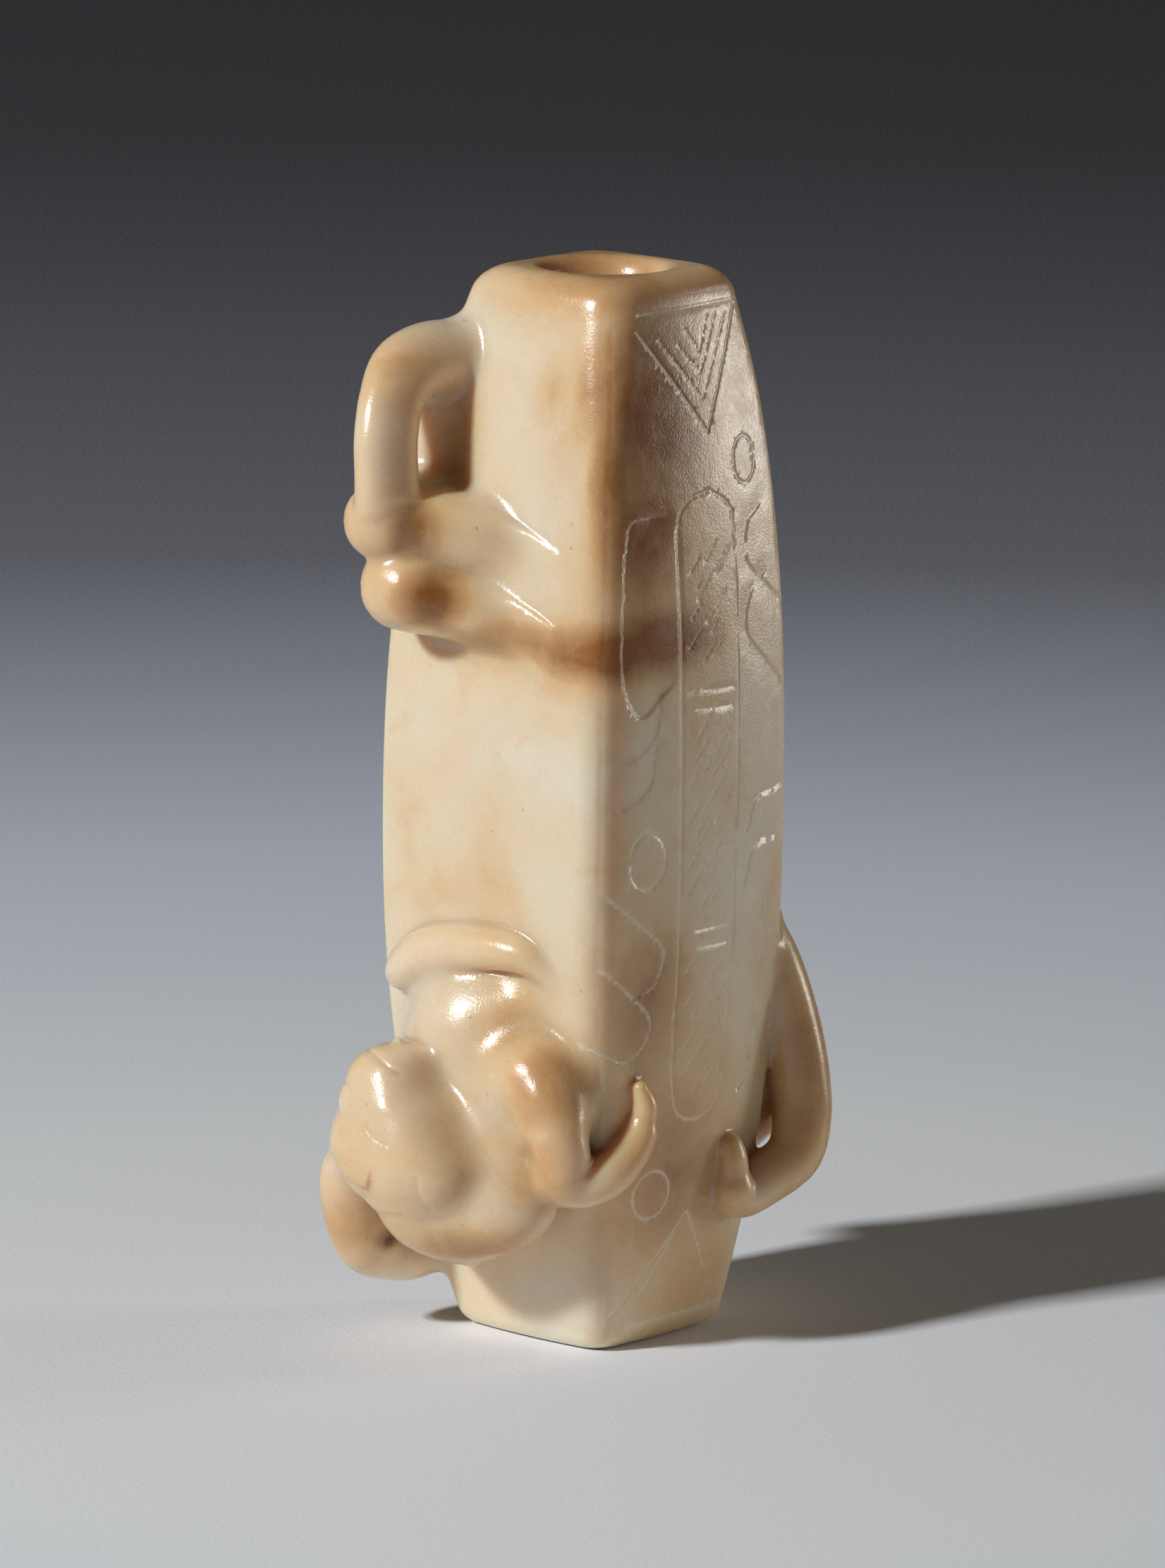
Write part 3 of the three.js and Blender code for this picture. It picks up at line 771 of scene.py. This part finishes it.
def carve():
    field = tube_field()
    join(field, rod(round_rows(ARRIS_WEB)), BLEND["arris_web"])
    hip_members = [rod(face_rows(FRONT, rows)) for rows in (HIP_KNOB, HIP_LOBE, UPPER_THIGH, LOWER_THIGH)]
    hip = smooth_min(gathered(hip_members, BLEND["hip"]), tail_loop(), BLEND["loop_on_hip"])
    field = smooth_min(field, hip, BLEND["hip_on_face"])
    join_dragon(field, FRONT, stand=1, rise=0)
    join(field, rod(face_rows(FRONT, FRONT_SHOULDER)), BLEND["front_shoulder"])
    join(field, rod(face_rows(FRONT, FRONT_RIGHT_ELBOW)), BLEND["front_elbow"])
    join_limb(field, FRONT_RIGHT_FORELEG, FRONT_RIGHT_CLAW, "foreleg")
    join_limb(field, FRONT_LEFT_FORELEG, FRONT_LEFT_CLAW, "front_left_foreleg")
    join_dragon(field, BACK, stand=BACK_STAND, rise=BACK_RISE)
    join_limb(field, BACK_LEFT_FORELEG, BACK_LEFT_CLAW, "foreleg")
    join(field, rod(face_rows(BACK, BACK_SHOULDER)), BLEND["back_shoulder"])
    join_limb(field, BACK_RIGHT_FORELEG, BACK_RIGHT_CLAW, "foreleg")
    return smooth_max(field, -bore_field(), LIP_EASE)


# Twice as many planes along each axis, on smooth curves through the old ones.
def doubled(field):
    for number in range(3):
        old = np.moveaxis(field, number, 0)
        new = np.empty((2 * len(old) - 1, *old.shape[1:]), np.float32)
        padded = np.concatenate([old[:1], old, old[-1:]])
        new[0::2] = old
        new[1::2] = (9 * (old[:-1] + old[1:]) - padded[:-3] - padded[3:]) / 16
        field = np.moveaxis(new, 0, number)
    return np.ascontiguousarray(field)


# How deep strokes cut at places across a face. Each stroke is its points and then its cut.
def stroke_depth(across, z, strokes):
    depth = np.zeros(np.broadcast(across, z).shape, np.float32)
    for points, half_width, deepest, bevel in strokes:
        path = smooth_path(points) if len(points) > 2 else np.asarray(points, float)
        nearest = np.full(depth.shape, FAR, np.float32)
        side = np.zeros(depth.shape, np.float32)
        for start, end in zip(path[:-1], path[1:]):
            along = end - start
            length = max(float(along @ along), TINY)
            away = across - start[0]
            up = z - start[1]
            t = np.clip((away * along[0] + up * along[1]) / length, 0, 1)
            distance = np.sqrt((away - t * along[0]) ** 2 + (up - t * along[1]) ** 2)
            closer = distance < nearest
            nearest = np.where(closer, distance, nearest)
            side = np.where(closer, along[0] * up - along[1] * away, side)
        cut = deepest * np.maximum(1 - (nearest / half_width) ** 2, 0)
        if bevel:
            slope = deepest * np.maximum(1 - nearest / abs(bevel), 0)
            cut = np.where(side * bevel > 0, np.maximum(cut, slope), cut)
        depth = np.maximum(depth, cut)
    return depth


def ring_points(across, z, half_across, half_height):
    turns = np.linspace(0, 2 * math.pi, RING_POINTS)
    return [[across + half_across * math.cos(t), z + half_height * math.sin(t)] for t in turns]


# Slanting strokes that fill parts of the strip.
def hatching():
    lines = []
    for low, high in HATCHED:
        for number in range(int((high - low) / HATCH_STEP)):
            swings = [most * math.sin(turn * number) for most, turn in zip(HATCH_UNEVEN, HATCH_TURNS)]
            left = HATCH_LEFT + swings[0]
            bottom = low + number * HATCH_STEP + swings[1]
            wide = HATCH_WIDE + swings[2]
            lines.append([[left, bottom], [left + wide, bottom + HATCH_SLOPE * wide]])
    return lines


# The incised ornament as strokes, all but the border.
def ornament():
    strokes = [(STRIP, *FINE_CUT), (NICK, *NICK_CUT), (LONG_GROOVE, *GROOVE_CUT)]
    for number, (left_end, apex, right_end) in enumerate(TRIANGLES):
        cut = FAINT_CUT if number else FINE_CUT
        strokes.append(([left_end, apex], *cut))
        strokes.append(([apex, right_end], *cut))
    rings = [ring_points(*ring) for ring in RINGS]
    for line in [TRIANGLE_TOP, *BARS, *FOOT_LINES, *rings]:
        strokes.append((line, *FINE_CUT))
    for line in [*SCALLOPS, *LEAVES]:
        strokes.append((line, *SLANTED_CUT))
    for line in hatching():
        strokes.append((line, *FAINT_CUT))
    return strokes


# The points of the border line.
def border():
    heights = np.linspace(*BORDER_HEIGHTS, BORDER_POINTS)
    return [[BORDER_INSET - half_side(z), z] for z in heights]


# How far the thighs stand out of the front face at places across it. They step out along the upper edge,
# fall back a little, rise towards the foot and roll off there. The lower one steps out along the parting.
def thigh_relief(across, z):
    lines = (THIGH_TOP, THIGH_PARTING, THIGH_FOOT, THIGH_STAND, PARTING_STAND)
    paths = [smooth_path(line) for line in lines]
    top, parting, foot, stand, parting_stand = (np.interp(across, path[:, 0], path[:, 1]) for path in paths)
    down = (top - z) / (top - foot)
    below = parting - z
    edge = THIGH_EDGE * smooth_step(*THIGH_EDGE_RISE, down)
    edge = edge - THIGH_EDGE_DROP * smooth_step(*THIGH_EDGE_FALL, down)
    slab = stand * (edge + THIGH_BODY * smooth_step(*THIGH_BODY_RISE, down))
    step = parting_stand * smooth_step(*PARTING_RISE, below) * (1 - smooth_step(*PARTING_FALL, below))
    return (slab + step) * (1 - smooth_step(*THIGH_ROLL_OFF, down))


# How far low domes stand out at places across a face.
def dome_relief(across, z, domes):
    relief = np.zeros(np.broadcast(across, z).shape, np.float32)
    for middle, height, half_across, half_height, rise in domes:
        share = ((across - middle) / half_across) ** 2 + ((z - height) / half_height) ** 2
        relief = np.maximum(relief, rise * np.maximum(1 - share, 0))
    return relief


# Works relief and incised lines into the fine field, face by face.
def engrave(field):
    x, y, z = (np.arange(size) * FINE_VOXEL + first * VOXEL for size, first in zip(field.shape, grid_first))
    shift_x, shift_y = bow(z)
    level = z[None, :].astype(np.float32)

    # The right and left faces' ornament.
    strokes = [*ornament(), (border(), *FAINT_CUT)]
    across = (y[:, None] - shift_y[None, :]).astype(np.float32)
    on_face = 1 - smooth_step(*FACE_EDGE, np.abs(across) - half_side(level))
    face_end = face_distance(across, level) + FACE_REACH
    for turn in (1, -1):
        cut = on_face * stroke_depth(across * turn, level, strokes)
        for row in np.flatnonzero(x * turn > OUTSIDE_BORE):
            field[row] += np.where((x[row] - shift_x) * turn < face_end, cut, 0)

    # The front face's thighs.
    across = (x[:, None] - shift_x[None, :]).astype(np.float32)
    relief = thigh_relief(across, level).astype(np.float32)
    field[:, y < -OUTSIDE_BORE, :] -= relief[:, None, :]

    # The two heads' lines, eyes and ear lobes.
    wrinkles = [(line, *WRINKLE_CUT) for line in WRINKLES]
    head_strokes = [(MOUTH, *MOUTH_CUT), (EAR_EDGE, *EAR_CUT), *wrinkles]
    for turn, stand, rise in ((1, 1, 0), (-1, BACK_STAND, BACK_RISE)):
        far_out = y * turn < -half_side(HEAD_HEIGHT) - HEAD_LINE_LIFT * stand
        place = (across * turn, level - rise)
        features = stroke_depth(*place, head_strokes) - dome_relief(*place, FACE_DOMES)
        field[:, far_out, :] += features[:, None, :]


# Values of a fine field at points, in millimetres, between its planes.
def sampled(field, points):
    place = points / FINE_VOXEL - 2 * np.asarray(grid_first)
    corner = np.clip(np.floor(place).astype(int), 0, np.asarray(field.shape) - 2)
    share = place - corner
    total = np.zeros(len(points))
    for offset in itertools.product((0, 1), repeat=3):
        weight = np.abs(1 - np.array(offset) - share).prod(1)
        total += weight * field[tuple((corner + offset).T)]
    return total


def normals_of(field, points):
    slopes = []
    for number in range(3):
        ahead = points.copy()
        behind = points.copy()
        ahead[:, number] += FINE_VOXEL
        behind[:, number] -= FINE_VOXEL
        slopes.append(sampled(field, ahead) - sampled(field, behind))
    slopes = np.stack(slopes, 1)
    return slopes / np.maximum(np.linalg.norm(slopes, axis=1, keepdims=True), TINY)


# How much of the strongest stain lies at points.
def stain_at(points, stains):
    total = np.zeros(len(points))
    for *middle, reach_x, reach_y, reach_z, strength in stains:
        away = (points - np.array(middle)) / np.array([reach_x, reach_y, reach_z])
        total = np.maximum(total, strength * np.exp(-(away**2).sum(1)))
    return total


# How far points lie in the incised lines of the right and left faces.
def incised_at(points):
    lines = [(line, width, min(depth / LINE_DEPTH, 1), 0) for line, width, depth, _ in ornament()]
    shift_x, shift_y = bow(points[:, 2])
    across = (points[:, 1] - shift_y) * np.sign(points[:, 0])
    outward = np.abs(points[:, 0] - shift_x)
    on_face = (outward > OUTSIDE_BORE) & (outward < face_distance(across, points[:, 2]) + FACE_REACH)
    return stroke_depth(across, points[:, 2], lines) * on_face


# How hollow the surface is at points: the field a little way out, against what a flat surface would give.
def hollow_at(field, points, normals):
    return np.clip(1 - sampled(field, points + HOLLOW_REACH * normals) / HOLLOW_REACH, 0, 1)


def add_attribute(mesh, name, values):
    layer = mesh.attributes.new(name, "FLOAT", "POINT")
    layer.data.foreach_set("value", np.asarray(values, np.float32))


# The stone's mesh, from the field's zero surface.
def mesh_of(field, name):
    grid = openvdb.FloatGrid(BAND)
    grid.transform = openvdb.createLinearTransform(FINE_VOXEL)
    corner = tuple(2 * index for index in grid_first)
    grid.copyFromArray(np.clip(field, -BAND, BAND), ijk=corner, tolerance=GRID_TOLERANCE)
    points, triangles, quads = grid.convertToPolygons(0.0, ADAPTIVITY)
    points = points.astype(float)
    normals = normals_of(field, points)
    mesh = bpy.data.meshes.new(name)
    mesh.from_pydata(points * MILLIMETRE, [], [*triangles.tolist(), *quads.tolist()])
    mesh.update()
    mesh.shade_smooth()
    mesh.normals_split_custom_set_from_vertices(normals)
    add_attribute(mesh, "russet_shade_and_glow", stain_at(points, RUSSET_STAINS_SHADE_AND_GLOW))
    add_attribute(mesh, "pale_and_light", stain_at(points, PALE_STAINS_AND_LIGHT))
    add_attribute(mesh, "dirt_and_gap_shade", stain_at(points, DIRT_AND_GAP_SHADE_SPOTS))
    add_attribute(mesh, "incised", incised_at(points))
    add_attribute(mesh, "hollow", hollow_at(field, points, normals))
    return mesh


# A node with its input values, each a number, a colour or another node's output.
def node(tree, kind, inputs=None, **settings):
    made = tree.nodes.new(kind)
    for key, value in settings.items():
        setattr(made, key, value)
    for key, value in (inputs or {}).items():
        if isinstance(value, bpy.types.NodeSocket):
            tree.links.new(value, made.inputs[key])
        else:
            made.inputs[key].default_value = value
    return made


# A colour ramp through (place, colour) or (place, level of grey) stops.
def ramp(tree, factor, stops):
    made = node(tree, "ShaderNodeValToRGB", {"Fac": factor})
    elements = made.color_ramp.elements
    while len(elements) < len(stops):
        elements.new(0.5)
    for element, (place, shade) in zip(elements, stops):
        element.position = place
        element.color = (*shade, 1) if isinstance(shade, tuple) else (shade, shade, shade, 1)
    return made.outputs["Color"]


def noise(tree, place, scale, detail, roughness, distortion):
    inputs = {
        "Vector": place,
        "Scale": scale,
        "Detail": detail,
        "Roughness": roughness,
        "Distortion": distortion,
    }
    return node(tree, "ShaderNodeTexNoise", inputs).outputs["Fac"]


# One colour turned towards another, by a share. The node's sockets go by number, because those for numbers,
# vectors and colours share their names.
def mix(tree, share, first, second):
    inputs = {0: share, 6: first, 7: (*second, 1)}
    return node(tree, "ShaderNodeMix", inputs, data_type="RGBA").outputs[2]


def maths(tree, operation, *values):
    return node(tree, "ShaderNodeMath", dict(enumerate(values)), operation=operation).outputs[0]


def attribute(tree, name):
    return node(tree, "ShaderNodeAttribute", attribute_name=name).outputs["Fac"]


# The stone's colour: clouds and veins, then stains, darkened hollows, incised lines, dirt, specks and
# painted sparkle.
# Some of the stains, the lines' paleness and one dark spot are partly painted light and shade.
def stone_colour(tree, place):
    veins = noise(tree, place, *VEINS)
    colour = ramp(tree, noise(tree, place, *CLOUDS), CLOUD_STOPS)
    colour = mix(tree, ramp(tree, veins, VEIN_STOPS), colour, TAN)
    colour = mix(tree, attribute(tree, "pale_and_light"), colour, PALE)
    russet_shade_and_glow = attribute(tree, "russet_shade_and_glow")
    stain = maths(tree, "MULTIPLY_ADD", russet_shade_and_glow, STAIN_BASE, maths(tree, "MULTIPLY", russet_shade_and_glow, veins))
    stain = maths(tree, "MINIMUM", stain, 1.0)
    tan_share = maths(tree, "MINIMUM", maths(tree, "MULTIPLY", stain, STAIN_TAN), 1.0)
    colour = mix(tree, tan_share, colour, TAN)
    russet_share = maths(tree, "MAXIMUM", maths(tree, "MULTIPLY_ADD", stain, *STAIN_RUSSET), 0.0)
    colour = mix(tree, russet_share, colour, RUSSET)
    hollow_share = maths(tree, "MULTIPLY", attribute(tree, "hollow"), HOLLOW_DARKENING)
    colour = mix(tree, hollow_share, colour, RUSSET)
    line_share = maths(tree, "MULTIPLY", attribute(tree, "incised"), LINE_PALENESS_AND_GLINT)
    colour = mix(tree, line_share, colour, SCRATCHED_AND_PAINTED_GLINT)
    colour = mix(tree, attribute(tree, "dirt_and_gap_shade"), colour, DIRT_AND_GAP_SHADE)
    colour = mix(tree, ramp(tree, noise(tree, place, *SPECKS), SPECK_STOPS), colour, RUSSET)
    return mix(tree, ramp(tree, noise(tree, place, *PAINTED_SPARKLE), PAINTED_SPARKLE_STOPS), colour, PALE)


# Polished stone that light goes into.
def jade_material():
    material = bpy.data.materials.new("jade")
    material.use_nodes = True
    tree = material.node_tree
    tree.nodes.clear()
    place = node(tree, "ShaderNodeTexCoord").outputs["Object"]
    grain = noise(tree, place, *GRAIN)
    polish = noise(tree, place, *POLISH)
    height = maths(tree, "ADD", grain, maths(tree, "MULTIPLY", polish, POLISH_BUMP))
    bump_inputs = {"Height": height, "Strength": BUMP_STRENGTH, "Distance": BUMP_DISTANCE}
    shader = node(
        tree,
        "ShaderNodeBsdfPrincipled",
        {
            "Base Color": stone_colour(tree, place),
            "Roughness": maths(tree, "MULTIPLY_ADD", polish, ROUGHNESS_SPREAD, ROUGHNESS),
            "IOR": STONE_IOR,
            "Subsurface Weight": 1.0,
            "Subsurface Radius": SUBSURFACE_RADIUS,
            "Subsurface Scale": SUBSURFACE_SCALE,
            "Normal": node(tree, "ShaderNodeBump", bump_inputs).outputs["Normal"],
        },
    )
    node(tree, "ShaderNodeOutputMaterial", {"Surface": shader.outputs["BSDF"]})
    return material


# A pale board, its colour painted darker with distance from the stone: a painted pool of light.
def floor_material():
    material = bpy.data.materials.new("floor")
    material.use_nodes = True
    tree = material.node_tree
    shader = tree.nodes["Principled BSDF"]
    place = node(tree, "ShaderNodeTexCoord").outputs["Object"]
    away = node(tree, "ShaderNodeVectorMath", {0: place}, operation="LENGTH").outputs["Value"]
    painted_falloff = ramp(tree, maths(tree, "DIVIDE", away, FLOOR_FALLOFF_DISTANCE), FLOOR_PAINTED_FALLOFF)
    fibres = noise(tree, place, *FIBRES)
    colour = mix(tree, ramp(tree, fibres, FIBRE_STOPS), painted_falloff, FIBRE_COLOUR)
    bump_inputs = {"Height": fibres, "Strength": FLOOR_BUMP_STRENGTH, "Distance": FLOOR_BUMP_DISTANCE}
    bump = node(tree, "ShaderNodeBump", bump_inputs)
    tree.links.new(colour, shader.inputs["Base Color"])
    tree.links.new(bump.outputs["Normal"], shader.inputs["Normal"])
    shader.inputs["Roughness"].default_value = FLOOR_ROUGHNESS
    shader.inputs["Specular IOR Level"].default_value = FLOOR_SPECULAR
    return material


def add_object(name, data):
    made = bpy.data.objects.new(name, data)
    bpy.context.scene.collection.objects.link(made)
    return made


def add_floor():
    bpy.ops.mesh.primitive_circle_add(vertices=FLOOR_SIDES, radius=FLOOR_RADIUS, fill_type="NGON")
    floor = bpy.context.object
    floor.name = "floor"
    floor.data.materials.append(floor_material())


def add_camera():
    data = bpy.data.cameras.new("camera")
    camera = add_object("camera", data)
    azimuth = math.radians(CAMERA_AZIMUTH)
    elevation = math.radians(CAMERA_ELEVATION)
    level = math.cos(elevation)
    back = Vector((math.sin(azimuth) * level, -math.cos(azimuth) * level, math.sin(elevation)))
    right = Vector((math.cos(azimuth), math.sin(azimuth), 0))
    up = back.cross(right)
    roll = math.radians(CAMERA_ROLL)
    turned_right = math.cos(roll) * right + math.sin(roll) * up
    turned_up = math.cos(roll) * up - math.sin(roll) * right
    target = CAMERA_TARGET_ACROSS * right + Vector((0, 0, CAMERA_TARGET_HEIGHT))
    position = (target + CAMERA_DISTANCE * back) * MILLIMETRE
    turn = Matrix((turned_right, turned_up, back)).transposed()
    camera.matrix_world = Matrix.Translation(position) @ turn.to_4x4()
    data.sensor_width = SENSOR
    data.lens = CAMERA_LENS
    data.clip_start, data.clip_end = CAMERA_CLIP
    bpy.context.scene.camera = camera


# A rectangular lamp that looks at the middle of the stone, from an angle round it and an elevation.
def add_lamp(name, angle, elevation, distance, width, height, power, colour):
    data = bpy.data.lights.new(name, "AREA")
    data.shape = "RECTANGLE"
    data.size = width
    data.size_y = height
    data.energy = power
    data.color = colour
    lamp = add_object(name, data)
    turn = math.radians(angle)
    rise = math.radians(elevation)
    away = Vector((math.cos(turn) * math.cos(rise), math.sin(turn) * math.cos(rise), math.sin(rise)))
    lamp.location = Vector((0, 0, HEIGHT / 2 * MILLIMETRE)) + distance * away
    lamp.rotation_euler = away.to_track_quat("Z", "Y").to_euler()


def set_world():
    world = bpy.data.worlds.new("studio")
    bpy.context.scene.world = world
    world.use_nodes = True
    background = world.node_tree.nodes["Background"]
    background.inputs["Color"].default_value = WORLD_COLOUR
    background.inputs["Strength"].default_value = WORLD_STRENGTH


stone_field = doubled(carve())
engrave(stone_field)
stone_mesh = mesh_of(stone_field, "jade_pendant")
stone_mesh.materials.append(jade_material())
stone = add_object("jade_pendant", stone_mesh)
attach(stone, "root")
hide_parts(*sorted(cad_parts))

add_floor()
add_camera()
for lamp in LAMPS:
    add_lamp(*lamp)
set_world()
bpy.context.scene.view_settings.view_transform = "Standard"
